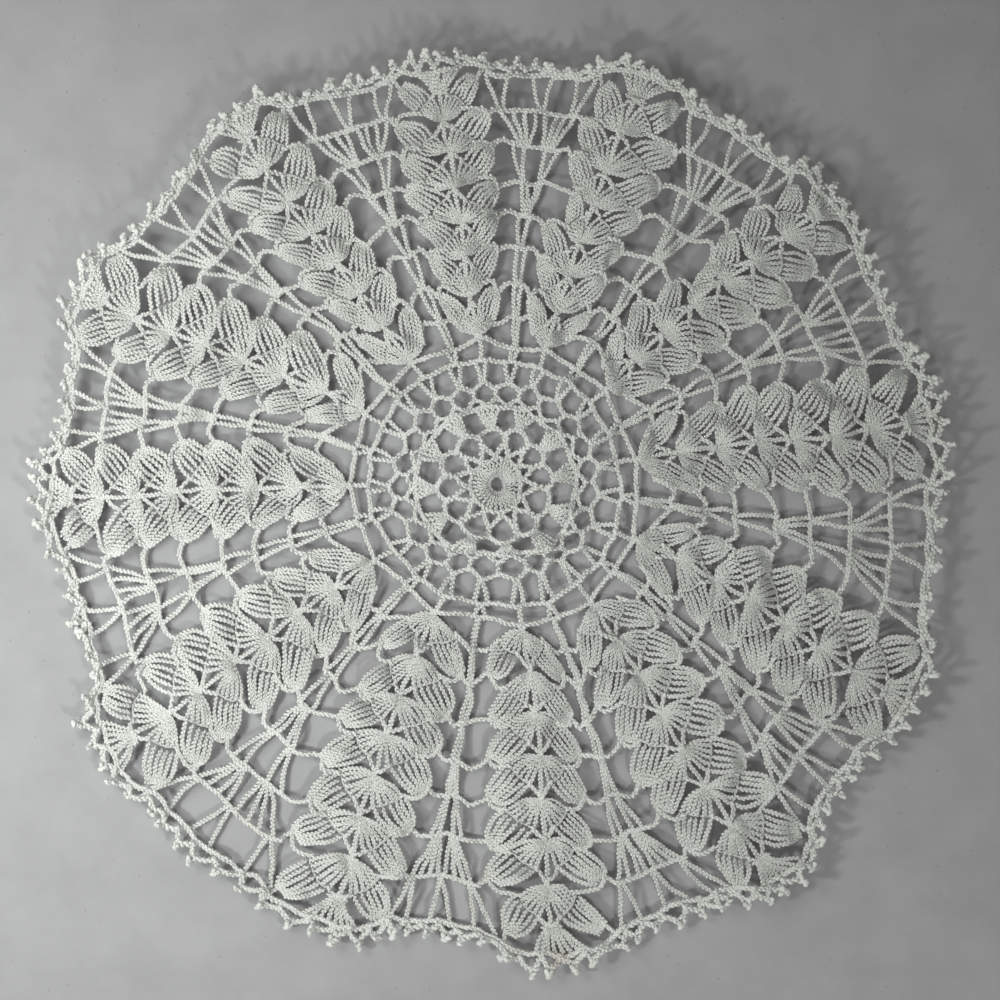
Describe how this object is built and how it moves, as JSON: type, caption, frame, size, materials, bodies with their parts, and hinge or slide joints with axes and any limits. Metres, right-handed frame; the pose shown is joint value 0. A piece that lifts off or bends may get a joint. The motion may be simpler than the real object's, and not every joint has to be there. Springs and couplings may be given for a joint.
{
  "type": "lace doily",
  "caption": "Round crocheted lace doily: a dense centre disc in open net rounds, leaf-shaped columns with ladders of bars between them, and a scalloped chain border with picots, lying flat.",
  "frame": {"origin": "centre of the doily's outline, on the surface that it lies on", "axes": "+Z up from the surface, +Y towards the rim's highest part, +X to the right seen from above with +Y upwards"},
  "size_m": [0.3418, 0.3452, 0.0116],
  "materials": {
    "cotton": "matt white crochet cotton"
  },
  "bodies": {
    "root": {"doily": "cotton"}
  },
  "joints": []
}
